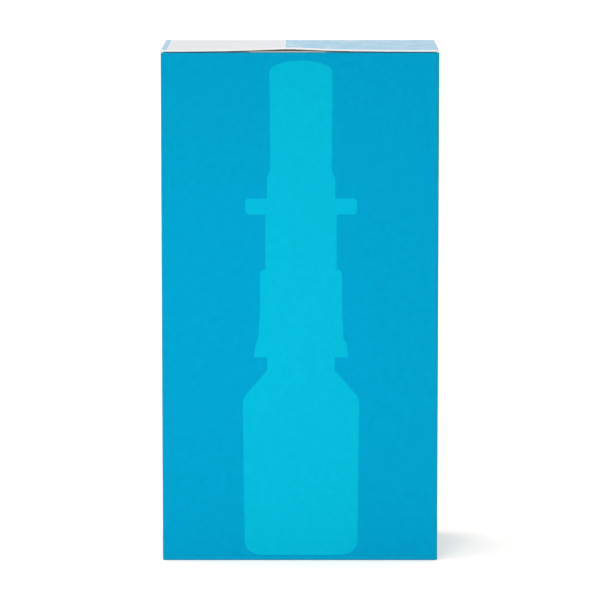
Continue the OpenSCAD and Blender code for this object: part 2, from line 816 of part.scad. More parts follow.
// double-lipped piston pushed on the stem's foot
module piston() {
    lip_r = chamber_bore_r - slide_gap;
    waist_r = lip_r - lip_w;
    socket_r = stem_r + seat_gap;
    color(WHITE) turned([
        [stem_bore_d / 2, piston_z], [waist_r, piston_z], [lip_r, piston_z + lip_w],
        [lip_r, piston_z + lip_h], [waist_r, piston_z + lip_h + lip_w],
        [waist_r, piston_top - lip_h - lip_w], [lip_r, piston_top - lip_h], [lip_r, piston_top],
        [socket_r, piston_top], [socket_r, piston_floor_z], [stem_bore_d / 2, piston_floor_z]
    ]);
}

module stem() {
    color(WHITE) tube(stem_r, stem_bore_d / 2, piston_floor_z + seat_gap, socket_top - seat_gap);
}

// Nozzle and cap

// radius of the nozzle's outside at a share t of its taper
function nozzle_r(t) = nozzle_tip_d / 2 + (nozzle_base_d - nozzle_tip_d) / 2 * pow(1 - t, 1.7);

// outside of the skirt, flange, cap ring and tapered nozzle, with the hollow under it
module nozzle_shell() {
    taper_z = flange_top + cap_seat_h;
    tip_round = nozzle_tip_d / 2 - insert_r;
    taper_h = nozzle_h - cap_seat_h - tip_round;
    hollow_h = taper_h - nozzle_solid_h;
    steps = 8;
    feed_r = feed_bore_d / 2 + feed_t;
    in_r = skirt_r - skirt_t;
    turned(concat(
        [[in_r, skirt_z], [skirt_r, skirt_z], [skirt_r, flange_z]],
        arc([flange_r - flange_edge, flange_z + flange_edge], flange_edge, flange_edge, -90, 0, 3),
        arc([flange_r - flange_edge, flange_top - flange_edge], flange_edge, flange_edge, 0, 90, 3),
        [[cap_seat_r, flange_top], [cap_seat_r, taper_z - cap_seat_edge]],
        [[cap_seat_r - cap_seat_edge, taper_z]],
        [for (i = [0:steps]) [nozzle_r(i / steps), taper_z + taper_h * i / steps]],
        arc([insert_r, nozzle_top - tip_round], tip_round, tip_round, 0, 90, 4),
        [[feed_bore_d / 2, nozzle_top], [feed_bore_d / 2, flange_floor_z], [feed_r, flange_floor_z]],
        [for (i = [steps:-1:0]) let (h = hollow_h * i / steps)
            [max(nozzle_r(h / taper_h) - nozzle_t, feed_r + seat_gap), taper_z + h]],
        [[nozzle_base_d / 2 - nozzle_t, flange_floor_z], [in_r, flange_floor_z]]
    ));
}

// boss inside the skirt that is pushed on the stem
module stem_boss() {
    difference() {
        translate([0, 0, socket_z])
            cylinder(r = stem_r + seat_gap + feed_t, h = flange_floor_z + feed_t - socket_z);
        translate([0, 0, socket_z - 1]) cylinder(r = stem_r + seat_gap, h = stem_socket_h + 1);
        translate([0, 0, socket_z]) cylinder(d = feed_bore_d, h = flange_top - socket_z);
    }
}

// hollow under the flange, with its ribs left standing
module flange_hollow() {
    difference() {
        tube(flange_r - flange_t, skirt_r, flange_z - flange_t, flange_floor_z);
        for (i = [0:flange_ribs - 1])
            rotate(i * 360 / flange_ribs)
                translate([skirt_r - skirt_t, -flange_rib_t / 2, flange_z])
                    cube([flange_r - skirt_r, flange_rib_t, flange_h]);
    }
}

// concentric ridges for the fingers, as many as fit beside the cap
module finger_ridges() {
    outer_r = flange_r - flange_edge;
    for (r = [outer_r:-2 * ridge_w:cap_band_r + 1.5 * ridge_w])
        tube(r, r - ridge_w, flange_top - ridge_h, flange_top + ridge_h);
}

// skirt, finger flange, cap ring and tapered nozzle in one moulding
module nozzle() {
    color(WHITE) difference() {
        union() {
            nozzle_shell();
            stem_boss();
            finger_ridges();
        }
        flange_hollow();
        translate([0, 0, nozzle_top - insert_l]) cylinder(r = insert_r, h = insert_l + 1);
    }
}

// swirl insert pushed into the nozzle's tip
module spray_insert() {
    r = insert_r - seat_gap;
    z0 = nozzle_top - insert_l + seat_gap;
    z1 = nozzle_top - seat_gap;
    color(NATURAL) turned([
        [feed_bore_d / 2, z0], [r, z0], [r, z1], [r - orifice_dish, z1],
        [orifice_d / 2, z1 - orifice_dish], [orifice_d / 2, z1 - 2 * orifice_dish],
        [feed_bore_d / 2, z1 - 3 * orifice_dish]
    ]);
}

module cap() {
    dome_z = cap_top - cap_dome_h;
    slope_z = cap_z + cap_seat_h + cap_band_over;
    color(CYAN) turned(concat(
        [[cap_grip_r, cap_z], [cap_band_r - cap_foot, cap_z], [cap_band_r, cap_z + cap_foot]],
        [[cap_band_r, slope_z], [cap_r, slope_z + cap_slope_h]],
        arc([0, dome_z], cap_r, cap_dome_h, 0, 90, 8),
        arc([0, dome_z], cap_r - cap_t, cap_dome_h - cap_t, 90, 0, 8),
        [[cap_r - cap_t, slope_z + cap_slope_h], [cap_grip_r, slope_z]]
    ));
}

// Placing: a piece is drawn when it, or the whole object, is asked for

carton_sleeve();
top_outer_flap();
top_inner_flap();
top_left_dust_flap();
top_right_dust_flap();
top_glue_spots();
bottom_outer_flap();
bottom_inner_flap();
bottom_left_dust_flap();
bottom_right_dust_flap();
bottom_glue_spots();
folded_leaflet();

for (s = SIDES) {
    on_bottle(s) bottle();
    on_bottle(s) solution();
    on_bottle(s) collar();
    on_bottle(s) gasket();
    on_bottle(s) pump_body();
    on_bottle(s) stem_guide();
    on_bottle(s) dip_tube();
    on_bottle(s) check_ball();
    on_bottle(s) return_spring();
    on_bottle(s) piston();
    on_bottle(s) stem();
    on_bottle(s) nozzle();
    on_bottle(s) spray_insert();
    on_bottle(s) cap();
}
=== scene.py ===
# %% [markdown]
# # A printed carton with two pump spray bottles
# The object is an upright folding carton of thin board. Two capped spray bottles and a folded leaflet
# stand in it. The imported model gives every piece its size, its place and its joints. This lesson dresses
# it: the board gets a printed side, a plain side and cut edges, and the bottles get their finishes.

# %% Load the frame
import math

import bmesh
import bpy
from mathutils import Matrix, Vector


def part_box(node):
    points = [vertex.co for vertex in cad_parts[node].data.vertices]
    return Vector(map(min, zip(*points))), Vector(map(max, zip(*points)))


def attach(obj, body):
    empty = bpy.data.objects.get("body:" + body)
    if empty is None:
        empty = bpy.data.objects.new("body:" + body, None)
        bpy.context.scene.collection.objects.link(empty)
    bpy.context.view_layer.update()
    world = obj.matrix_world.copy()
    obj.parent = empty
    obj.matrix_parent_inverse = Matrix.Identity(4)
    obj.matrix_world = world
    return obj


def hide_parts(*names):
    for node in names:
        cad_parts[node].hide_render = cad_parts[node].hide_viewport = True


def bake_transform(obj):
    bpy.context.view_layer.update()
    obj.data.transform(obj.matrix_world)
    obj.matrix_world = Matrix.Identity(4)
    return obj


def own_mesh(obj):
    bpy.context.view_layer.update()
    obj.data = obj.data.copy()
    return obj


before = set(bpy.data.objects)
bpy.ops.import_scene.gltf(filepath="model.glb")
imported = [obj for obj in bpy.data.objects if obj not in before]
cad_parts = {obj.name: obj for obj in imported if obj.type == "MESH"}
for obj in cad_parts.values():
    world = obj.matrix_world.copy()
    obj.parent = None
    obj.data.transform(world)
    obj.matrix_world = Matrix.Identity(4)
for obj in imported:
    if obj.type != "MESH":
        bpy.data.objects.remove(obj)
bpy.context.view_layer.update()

# %% [markdown]
# ## Sizes
# A carton is a flat sheet with folds, so a few levels say nearly all of it: the outline of the sleeve and
# the heights at which the lid, the inner flap and the dust flaps fold over. They are measured on the
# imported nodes, so that the board fits even if the carton gets another size.

# %% Measure the carton
MM = 0.001

sleeve_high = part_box("carton_sleeve")[1]
lid_low, lid_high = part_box("top_outer_flap")
inner_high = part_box("top_inner_flap")[1]
dust_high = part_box("top_left_dust_flap")[1]
flat_low, flat_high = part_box("bottom_inner_flap")

half_w = sleeve_high.x
half_d = sleeve_high.y
lid_top = sleeve_high.z
layer = flat_low.z
inner_top = lid_top - layer
dust_top = dust_high.z
board = flat_high.z - flat_low.z
print(f"carton {2 * half_w / MM:.1f} x {2 * half_d / MM:.1f} x {lid_top / MM:.1f} mm")
print(f"board {board / MM:.2f} mm")

# %% [markdown]
# ## The camera
# The carton is seen square from the front and a little from above, so that the lid shows as a thin band.
# The lens is long, which keeps the upright edges nearly parallel. Distance, height and tilt were chosen
# so that the corners of the front and of the lid fall where a picture of 600 x 600 pixels shows them.

# %% Set up the camera
PICTURE = 600
SENSOR = 36.0
focal_px = 3927.1
camera_distance = 900 * MM
camera_height = 180.9 * MM
camera_tilt = math.radians(7.572)
near_clip = 10 * MM

bpy.ops.object.camera_add(
    location=(0, -half_d - camera_distance, camera_height),
    rotation=(math.pi / 2 - camera_tilt, 0, 0),
)
camera = bpy.context.object
camera.data.sensor_width = SENSOR
camera.data.lens = SENSOR * focal_px / PICTURE
camera.data.clip_start = near_clip
bpy.context.scene.camera = camera
print(f"lens {camera.data.lens:.0f} mm, {1000 * camera_distance:.0f} mm in front of the carton")

# %% [markdown]
# ## Selecting in code
# By hand you click an edge, then press E to extrude it. A script has no mouse, so it selects by place or
# by direction: a small test says which corners, edges or faces are meant. Most pieces below are made in
# this way, from one flat plane that is turned and scaled to its size, with the transform applied so that
# its place is in its mesh. Places nearer than CLOSE count as the same one, and corners nearer than MERGE
# are merged.

# %% Helpers for edit mode
CLOSE = 0.01 * MM
MERGE = 0.001 * MM


def middle(part):
    """The mean of the corners of an edge or a face, or the place of a single corner."""
    if isinstance(part, bmesh.types.BMVert):
        return part.co
    return sum((v.co for v in part.verts), Vector()) / len(part.verts)


def pick(kind, test):
    """In edit mode, selects the corners (VERT), edges (EDGE) or faces (FACE) that pass the test."""
    bpy.ops.mesh.select_mode(type=kind)
    bpy.ops.mesh.select_all(action="DESELECT")
    data = bpy.context.object.data
    mesh = bmesh.from_edit_mesh(data)
    parts = {"VERT": mesh.verts, "EDGE": mesh.edges, "FACE": mesh.faces}[kind]
    for part in parts:
        if test(part):
            part.select = True
    mesh.select_flush_mode()
    bmesh.update_edit_mesh(data)


def extrude(x=0.0, y=0.0, z=0.0):
    bpy.ops.mesh.extrude_region_move(TRANSFORM_OT_translate={"value": (x, y, z)})


def cut(point, normal):
    """Cuts what is selected along a plane."""
    bpy.ops.mesh.bisect(plane_co=point, plane_no=normal)


def cut_all(point, normal):
    """Cuts the whole piece along a plane."""
    bpy.ops.mesh.select_all(action="SELECT")
    cut(point, normal)


def round_edges(radius, segments):
    """Bevels the selected edges round."""
    bpy.ops.mesh.bevel(
        offset=radius, offset_type="OFFSET", segments=segments, profile=0.5, affect="EDGES"
    )


def start_sheet(name, width, height, centre=(0, 0, 0), turn=(0, 0, 0)):
    """A flat sheet of that size at its place, open for editing."""
    bpy.ops.object.select_all(action="DESELECT")
    bpy.ops.mesh.primitive_plane_add(size=1, location=centre, rotation=turn)
    piece = bpy.context.object
    piece.name = name
    piece.data.name = name
    piece.scale = (width, height, 1)
    bpy.ops.object.transform_apply(location=True, rotation=True, scale=True)
    bpy.ops.object.mode_set(mode="EDIT")
    return piece


def trace(name, points):
    """One corner that is extruded from point to point and round to the first, with all of it selected."""
    piece = start_sheet(name, 1, 1)
    bpy.ops.mesh.select_mode(type="VERT")
    bpy.ops.mesh.select_all(action="SELECT")
    bpy.ops.mesh.merge(type="CENTER")
    bpy.ops.mesh.select_all(action="SELECT")
    bpy.ops.transform.translate(value=points[0])
    for here, there in zip(points, points[1:] + points[:1]):
        extrude(*(b - a for a, b in zip(here, there)))
    bpy.ops.mesh.select_all(action="SELECT")
    bpy.ops.mesh.remove_doubles(threshold=MERGE)
    bpy.ops.mesh.select_all(action="SELECT")
    return piece


def arc(centre, radii, first, last, steps):
    """Points of a round stretch of an outline, as (across, up)."""
    turn = [math.radians(first + (last - first) * i / steps) for i in range(steps + 1)]
    return [(centre[0] + radii[0] * math.cos(a), centre[1] + radii[1] * math.sin(a)) for a in turn]


def smooth(piece, angle=30):
    """Smooths across the folds that are flatter than that angle, and lets large flat faces stay flat."""
    bpy.ops.object.shade_smooth_by_angle(angle=math.radians(angle))
    weights = piece.modifiers.new("normals", "WEIGHTED_NORMAL")
    weights.keep_sharp = True
    bpy.ops.object.modifier_apply(modifier="normals")


def report(piece):
    piece.update_from_editmode()
    print(f"{piece.name}: {len(piece.data.polygons)} faces")


# %% [markdown]
# ## Finishes
# A finish is a Principled shader with something to read: noise on Object coordinates for the uneven tone,
# the gloss and the tooth of the surface. Object coordinates stay with the piece when it moves. What is
# the same all over, such as the transmission of glass, is set on the shader's own socket.

# %% Helpers for finishes
NOISE_LOW, NOISE_HIGH = 0.3, 0.7
MIX_DARK, MIX_LIGHT, MIX_RESULT = 6, 7, 2


def shader_of(finish):
    return finish.node_tree.nodes["Principled BSDF"]


def new_finish(name, colour, roughness, **sockets):
    """A Principled material; further sockets are named with _ for a space."""
    finish = bpy.data.materials.new(name)
    finish.use_nodes = True
    shader = shader_of(finish)
    shader.inputs["Base Color"].default_value = (*colour, 1)
    shader.inputs["Roughness"].default_value = roughness
    for socket, value in sockets.items():
        shader.inputs[socket.replace("_", " ")].default_value = value
    return finish


def grain(finish, size, detail=2.0, stretch=(1, 1, 1)):
    """Noise whose patches are about that size; stretch lengthens them along an axis."""
    nodes, links = finish.node_tree.nodes, finish.node_tree.links
    place = nodes.new("ShaderNodeTexCoord")
    mapping = nodes.new("ShaderNodeMapping")
    mapping.inputs["Scale"].default_value = [1 / s for s in stretch]
    noise = nodes.new("ShaderNodeTexNoise")
    noise.inputs["Scale"].default_value = 1 / size
    noise.inputs["Detail"].default_value = detail
    links.new(place.outputs["Object"], mapping.inputs["Vector"])
    links.new(mapping.outputs["Vector"], noise.inputs["Vector"])
    return noise.outputs["Fac"]


def spread(finish, value, low, high):
    """Maps noise, which stays near a half, on a range."""
    node = finish.node_tree.nodes.new("ShaderNodeMapRange")
    node.inputs["From Min"].default_value = NOISE_LOW
    node.inputs["From Max"].default_value = NOISE_HIGH
    node.inputs["To Min"].default_value = low
    node.inputs["To Max"].default_value = high
    finish.node_tree.links.new(value, node.inputs["Value"])
    return node.outputs["Result"]


def blend_colour(finish, factor, dark, light):
    """A colour between two, by a factor."""
    node = finish.node_tree.nodes.new("ShaderNodeMix")
    node.data_type = "RGBA"
    finish.node_tree.links.new(factor, node.inputs["Factor"])
    for socket, colour in ((MIX_DARK, dark), (MIX_LIGHT, light)):
        if isinstance(colour, bpy.types.NodeSocket):
            finish.node_tree.links.new(colour, node.inputs[socket])
        else:
            node.inputs[socket].default_value = (*colour, 1)
    return node.outputs[MIX_RESULT]


def use_for(finish, value, socket):
    finish.node_tree.links.new(value, shader_of(finish).inputs[socket])


def emboss(finish, value, depth, strength):
    """A bump of that depth on the whole surface."""
    node = finish.node_tree.nodes.new("ShaderNodeBump")
    node.inputs["Distance"].default_value = depth
    node.inputs["Strength"].default_value = strength
    finish.node_tree.links.new(value, node.inputs["Height"])
    use_for(finish, node.outputs["Normal"], "Normal")


def tint(colour, share):
    return tuple(share * c for c in colour)


# %% [markdown]
# ## Ink and board
# The carton is white coated board, printed in one strong cyan and a lighter one under a dull varnish. Ink
# on board is never quite even: it mottles over a millimetre or two, and the paper's tooth breaks it up
# more finely. The back of the board is uncoated and shows its fibres, and a cut edge shows the white core
# in layers.

# %% Make the carton's finishes
CYAN = (0.0003, 0.352, 0.590)
LIGHT_CYAN = (0.0015, 0.478, 0.67)
COAT_WHITE = (0.755, 0.775, 0.785)
BOARD_BACK = (0.70, 0.69, 0.64)
CORE_WHITE = (0.92, 0.92, 0.91)

mottle_size = 1.6 * MM
tooth_size = 0.16 * MM
fibre_size = 0.22 * MM
layer_size = 0.07 * MM
tooth_depth = 0.006 * MM
fibre_depth = 0.03 * MM
ink_tone = (0.97, 1.03)
ink_gloss = (0.18, 0.26)
ink_breaks = 0.002


def ink(name, colour):
    """A dull varnished ink, uneven in tone and gloss, that shines only at a low angle."""
    finish = new_finish(name, colour, roughness=0.4, Specular_Tint=(0, 0, 0, 1))
    mottle = spread(finish, grain(finish, mottle_size, detail=4), 0, 1)
    tone = blend_colour(finish, mottle, tint(colour, ink_tone[0]), tint(colour, ink_tone[1]))
    tooth = grain(finish, tooth_size, detail=3)
    broken = blend_colour(finish, spread(finish, tooth, 0, ink_breaks), tone, COAT_WHITE)
    use_for(finish, broken, "Base Color")
    use_for(finish, spread(finish, grain(finish, 3 * mottle_size), *ink_gloss), "Roughness")
    emboss(finish, tooth, tooth_depth, strength=0.5)
    return finish


def matt_finish(name, dark, light, patch, roughness, depth, stretch=(1, 1, 1)):
    """Bare board, paper or rubber: dull, with an uneven tone and relief."""
    finish = new_finish(name, light, roughness, Specular_IOR_Level=0.2)
    fibres = grain(finish, patch, detail=4, stretch=stretch)
    use_for(finish, blend_colour(finish, spread(finish, fibres, 0, 1), dark, light), "Base Color")
    emboss(finish, fibres, depth, strength=0.7)
    return finish


cyan_ink = ink("cyan_ink", CYAN)
light_ink = ink("light_ink", LIGHT_CYAN)
white_coat = matt_finish(
    "white_coat",
    dark=tint(COAT_WHITE, 0.97),
    light=COAT_WHITE,
    patch=mottle_size,
    roughness=0.5,
    depth=tooth_depth,
)
board_back = matt_finish(
    "board_back",
    dark=tint(BOARD_BACK, 0.9),
    light=tint(BOARD_BACK, 1.06),
    patch=fibre_size,
    roughness=0.9,
    depth=fibre_depth,
    stretch=(1, 1, 6),
)
cut_core = matt_finish(
    "cut_core",
    dark=tint(CORE_WHITE, 0.92),
    light=CORE_WHITE,
    patch=layer_size,
    roughness=0.9,
    depth=fibre_depth,
    stretch=(8, 8, 1),
)
print("carton finishes:", cyan_ink.name, light_ink.name, white_coat.name, board_back.name, cut_core.name)

# %% [markdown]
# ## From sheet to board
# Board is a sheet with a thickness. So each carton piece is modelled as its outer face only, and a
# Solidify modifier gives it the board's thickness inwards. The modifier can shift the material of the new
# inner face and of the rim, so one list of slots serves every piece: the two printed faces, the plain
# back of each, and the cut edge of each.

# %% Give a sheet its board
SECOND = 1
TO_BACK, TO_EDGE = 2, 4


def slots_for(piece, second):
    for finish in (cyan_ink, second, board_back, board_back, cut_core, cut_core):
        piece.data.materials.append(finish)


def paint(slot):
    """Gives the selected faces that slot."""
    bpy.context.object.active_material_index = slot
    bpy.ops.object.material_slot_assign()


def thicken(piece):
    """Leaves edit mode and turns the sheet into board."""
    bpy.ops.object.mode_set(mode="OBJECT")
    solid = piece.modifiers.new("board", "SOLIDIFY")
    solid.thickness = board
    solid.offset = -1
    solid.use_even_offset = True
    solid.material_offset = TO_BACK
    solid.material_offset_rim = TO_EDGE
    bpy.ops.object.modifier_apply(modifier="board")


# %% [markdown]
# ## The sleeve
# The four walls are one sheet that starts at the glued seam: back, right, front and left panel, one
# extrusion each. The upright folds are bevelled round. The seam flap hides inside the left panel, whose
# cut edge shows at the back. Above and below, each panel stops a little short of its fold, because the
# flap brings its fold along.

# %% Fold the sleeve
fold_r = 0.5 * MM
crease_r = 0.42 * MM
strip = 1.2 * MM
seam_w = 12 * MM
seam_end = 3 * MM
glue_film = 0.03 * MM
edge_back = 0.35 * MM
corner_trim = 0.12 * MM
sleeve_segments = 8
straight_enough = 0.999

root_wide = half_w - fold_r
root_deep = half_d - fold_r
seam_x = -half_w + board + glue_film
seam_y = half_d - board - seam_w


def facing(part, x=0, y=0):
    """True for a face that looks straight along that direction."""
    return part.normal.x * x + part.normal.y * y > straight_enough


sleeve = start_sheet(
    "sleeve_board",
    half_w - seam_x,
    inner_top - corner_trim,
    centre=((half_w + seam_x) / 2, half_d, (inner_top + corner_trim) / 2),
    turn=(-math.pi / 2, 0, 0),
)
pick("EDGE", lambda e: middle(e).x > half_w - MM)
extrude(y=-2 * half_d)
extrude(x=-2 * half_w)
extrude(y=2 * half_d - edge_back)
pick("EDGE", lambda e: middle(e).x < seam_x + MM and middle(e).y > half_d - CLOSE)
extrude(y=seam_y - half_d)

corners = [(seam_x, half_d), (half_w, half_d), (half_w, -half_d), (-half_w, -half_d)]


def is_fold(edge):
    place = middle(edge)
    upright = abs(place.z - inner_top / 2) < MM
    return upright and any((place.xy - Vector(c)).length < CLOSE for c in corners)


pick("EDGE", is_fold)
round_edges(fold_r, sleeve_segments)
report(sleeve)

# %% [markdown]
# Now the room for the flaps is cut out. Bisect splits only what is selected, so each panel is cut at its
# own levels and at the ends of its flaps, and the faces past the cuts are deleted. At the top the back
# panel reaches highest, because the lid folds from it, and at the bottom the front panel reaches lowest.
# The seam flap gets slanted ends.

# %% Cut the sleeve's ends
panels = [
    ((0, -1), 0, inner_top, root_wide),
    ((0, 1), layer, lid_top, root_wide),
    ((-1, 0), lid_top - dust_top, dust_top, root_deep),
    ((1, 0), lid_top - dust_top, dust_top, root_deep),
]


def on_panel(face, way):
    """True for a face of that panel; the seam flap lies inside the left one."""
    reach = abs(way[0]) * half_w + abs(way[1]) * half_d
    return facing(face, *way) and middle(face).xy.dot(Vector(way)) > reach - CLOSE


for way, low, high, root in panels:
    across = (abs(way[1]), abs(way[0]), 0)
    for height in (low + strip, high - strip):
        pick("FACE", lambda f: on_panel(f, way))
        cut((0, 0, height), (0, 0, 1))
    for side in (-1, 1):
        pick("FACE", lambda f: on_panel(f, way))
        cut([side * root * a for a in across], across)
    pick(
        "FACE",
        lambda f: on_panel(f, way)
        and abs(middle(f).dot(Vector(across))) < root
        and not low + strip < middle(f).z < high - strip,
    )
    bpy.ops.mesh.delete(type="FACE")


def off_front(face):
    return middle(face).y > -half_d + fold_r


pick("FACE", off_front)
cut((0, 0, layer), (0, 0, 1))
pick("FACE", lambda f: off_front(f) and middle(f).z < layer)
bpy.ops.mesh.delete(type="FACE")


def on_seam(face):
    return abs(middle(face).x - seam_x) < CLOSE and middle(face).y < half_d - fold_r


seam_low = lid_top - dust_top + seam_end
for height in (seam_low, lid_top - seam_low):
    pick("FACE", on_seam)
    cut((0, 0, height), (0, 0, 1))
pick("FACE", lambda f: on_seam(f) and abs(middle(f).z - lid_top / 2) > lid_top / 2 - seam_low)
bpy.ops.mesh.delete(type="FACE")
pick("VERT", lambda v: abs(v.co.y - seam_y) < CLOSE)
inset_share = 1 - 2 * seam_w / (lid_top - 2 * seam_low)
bpy.ops.transform.resize(value=(1, 1, inset_share), center_override=(0, 0, lid_top / 2))
report(sleeve)

# %% [markdown]
# ## The printed outline
# The front shows the outline of one of the bottles at its actual size, in the lighter cyan. One half of
# it is drawn from the foot up, as (radius, height) points: the heel, the body, the shoulder, the neck,
# the flared collar, the skirt, the finger flange and the cap. Straight stretches need only their ends,
# and round ones are arcs.

# %% Draw the outline of the bottle
heel = (4.2 * MM, 3.1 * MM)
foot_z, shoulder_z = 1.28 * MM, 36.8 * MM
body_r = (13.13 * MM, 13.5 * MM)
shoulder_r = 3.8 * MM
shoulder_turn = 40.5
neck_r = 7.8 * MM
collar_side = [(10.86, 47.85), (10.86, 48.6), (10.52, 51.0), (9.83, 52.4), (9.46, 59.0)]
collar_top = (9.5 * MM, 68.3 * MM)
collar_edge = 1.2 * MM
skirt_r = 8.22 * MM
flange_r = 12.88 * MM
flange_z = (81.15 * MM, 84.85 * MM)
flange_edge = 0.95 * MM
cap_side = [(7.86, 84.85), (7.86, 89.5), (7.07, 91.4)]
cap_dome = (7.24 * MM, 2.6 * MM)
cap_top = 116.65 * MM


def in_metres(points):
    return [(r * MM, z * MM) for r, z in points]


def rounded(corner, radius, first, last):
    """An arc that rounds off an outer corner of the outline, from one direction to another."""
    rise = radius if first < 0 else -radius
    return arc((corner[0] - radius, corner[1] + rise), (radius, radius), first, last, steps=6)


shoulder = arc((body_r[1] - shoulder_r, shoulder_z), (shoulder_r, shoulder_r), 0, shoulder_turn, steps=8)
cone_w = shoulder[-1][0] - neck_r
neck_z = shoulder[-1][1] + cone_w / math.tan(math.radians(shoulder_turn))

outline = (
    [(0, foot_z)]
    + arc((body_r[0] - heel[0], foot_z + heel[1]), heel, -90, 0, steps=12)
    + shoulder
    + [(neck_r, neck_z), (neck_r, collar_side[0][1] * MM)]
    + in_metres(collar_side)
    + rounded(collar_top, collar_edge, 0, 90)
    + [(skirt_r, collar_top[1]), (skirt_r, flange_z[0])]
    + rounded((flange_r, flange_z[0]), flange_edge, -90, 0)
    + rounded((flange_r, flange_z[1]), flange_edge, 0, 90)
    + in_metres(cap_side)
    + arc((0, cap_top - cap_dome[1]), cap_dome, 0, 90, steps=16)
)
print(f"outline of {len(outline)} points, {(cap_top - foot_z) / MM:.1f} mm tall")

# %% [markdown]
# To print it on the front, the outline is traced, mirrored, filled with one face and pushed through the
# panel as a cutter. Intersect (Knife) then cuts its edge into the panel, the cutter is deleted, and the
# faces inside the edge get the lighter ink. A cut edge stays crisp at any distance, where a painted mask
# would blur.

# %% Print the outline on the front
print_shift = 0.24 * MM
cutter_reach = 2 * MM
print_room = 0.1 * MM

right_half = [(print_shift + r, -half_d - cutter_reach, z) for r, z in outline]
left_half = [(print_shift - r, -half_d - cutter_reach, z) for r, z in reversed(outline) if r > CLOSE]

bpy.ops.object.mode_set(mode="OBJECT")
cutter = trace("cutter", right_half + left_half)
bpy.ops.mesh.edge_face_add()
extrude(y=2 * cutter_reach)
bpy.ops.object.mode_set(mode="OBJECT")

bpy.ops.object.select_all(action="DESELECT")
cutter.select_set(True)
sleeve.select_set(True)
bpy.context.view_layer.objects.active = sleeve
slots_for(sleeve, light_ink)
bpy.ops.object.join()
bpy.ops.object.mode_set(mode="EDIT")


def in_outline(part):
    return all(abs(v.co.x - print_shift) < body_r[1] + print_room for v in part.verts)


def at_cutter_end(corner):
    """True for a corner of the cutter's two ends, before and behind the panel."""
    return abs(abs(corner.co.y + half_d) - cutter_reach) < CLOSE


pick("FACE", lambda f: in_outline(f) and any(at_cutter_end(v) for v in f.verts))
bpy.ops.mesh.intersect(mode="SELECT_UNSELECT", separate_mode="NONE", solver="EXACT")
pick("VERT", lambda v: abs(v.co.x) < half_w - MM and at_cutter_end(v))
bpy.ops.mesh.delete(type="VERT")
pick("FACE", lambda f: facing(f, 0, -1) and in_outline(f))
paint(SECOND)
thicken(sleeve)
smooth(sleeve)
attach(sleeve, "carton")
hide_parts("carton_sleeve")
report(sleeve)

# %% [markdown]
# ## The flaps
# All eight flaps are made alike: a flat sheet, a narrow strip that runs down the panel, and a bevelled
# fold between them. The fold is scored, as on real board: a groove on its inside lets the two sides swing
# apart without the ink coming through. A flap is modelled with its fold at the origin, then turned and
# moved to its panel. The bottom flaps are the same pieces, turned over the carton's middle.

# %% Helpers for a folded flap
fold_segments = 7
tip_segments = 4
widen_y = 2 * crease_r
score_depth = 0.2 * MM
score_reach = 0.05 * MM


def folded_flap(name, reach, root, tips, corner):
    """A flap with its fold along X; tips are the half widths at its free end, left and right."""
    piece = start_sheet(name, 2 * root, reach, centre=(0, reach / 2, 0))
    slots_for(piece, white_coat)
    pick("EDGE", lambda e: middle(e).y < CLOSE)
    extrude(z=-strip)
    for tip, side in zip(tips, (-1, 1)):
        pick("VERT", lambda v: v.co.y > reach - CLOSE and v.co.x * side > 0)
        bpy.ops.transform.translate(value=(side * (tip - root), 0, 0))
    pick("EDGE", lambda e: middle(e).length < CLOSE)
    round_edges(crease_r, fold_segments)
    if corner:
        pick("VERT", lambda v: v.co.y > reach - CLOSE)
        bpy.ops.mesh.bevel(offset=corner, offset_type="OFFSET", segments=tip_segments, affect="VERTICES")
    return piece


def full_flap(name):
    """An outer flap: past its fold it widens to cover the whole end."""
    piece = folded_flap(name, lid_reach, root_wide, (root_wide, root_wide), 0)
    cut_all((0, widen_y, 0), (0, 1, 0))
    pick("VERT", lambda v: v.co.y > widen_y - CLOSE)
    bpy.ops.transform.resize(value=(lid_high.x / root_wide, 1, 1), center_override=(0, 0, 0))
    return piece


def score(piece):
    """Gives a flap its board, and presses the groove in the inside of its fold."""
    thicken(piece)
    bpy.ops.object.mode_set(mode="EDIT")
    pick("VERT", lambda v: (v.co.yz - Vector((board, -board))).length < score_reach)
    bpy.ops.transform.translate(value=(0, -score_depth, score_depth))
    bpy.ops.object.mode_set(mode="OBJECT")
    smooth(piece)


def place_flap(piece, edge, level, turn, at_bottom=False):
    """Turns a finished flap to its panel; edge is how far the panel lies from the middle."""
    away = Vector((math.sin(turn), -math.cos(turn), 0)) * edge
    piece.location = (away.x, -away.y, lid_top - level) if at_bottom else (away.x, away.y, level)
    piece.rotation_euler = (math.pi, 0, -turn) if at_bottom else (0, 0, turn)
    bpy.ops.object.transform_apply(location=True, rotation=True, scale=True)


FRONT, RIGHT, BACK, LEFT = 0, math.pi / 2, math.pi, -math.pi / 2
lid_reach = half_d - lid_low.y

# %% [markdown]
# ## The lid
# The lid folds from the back panel and covers the whole top. A narrow cyan strip, a white field and a cyan
# field lie side by side on it, and its cut front edge shows as a white line. Glue holds it on both sides
# of the middle, and between them the free edge springs up a little. The fold has an odd number of
# segments, so that no corner lies right on its middle.

# %% Fold the lid
field_left = -30.6 * MM
field_right = -3.3 * MM
crest_x = -2.8 * MM
crest_w = 9 * MM
crest_power = 1.5
crest_rise = lid_high.z - lid_top
lid_columns = 30
lid_rows = 10

lid = full_flap("lid_board")
inner_columns = [lid_high.x * (2 * i / lid_columns - 1) for i in range(1, lid_columns)]
for x in inner_columns + [-field_left, -field_right]:
    cut_all((x, 0, 0), (1, 0, 0))
for i in range(1, lid_rows):
    cut_all((0, widen_y + (lid_reach - widen_y) * i / lid_rows, 0), (0, 1, 0))

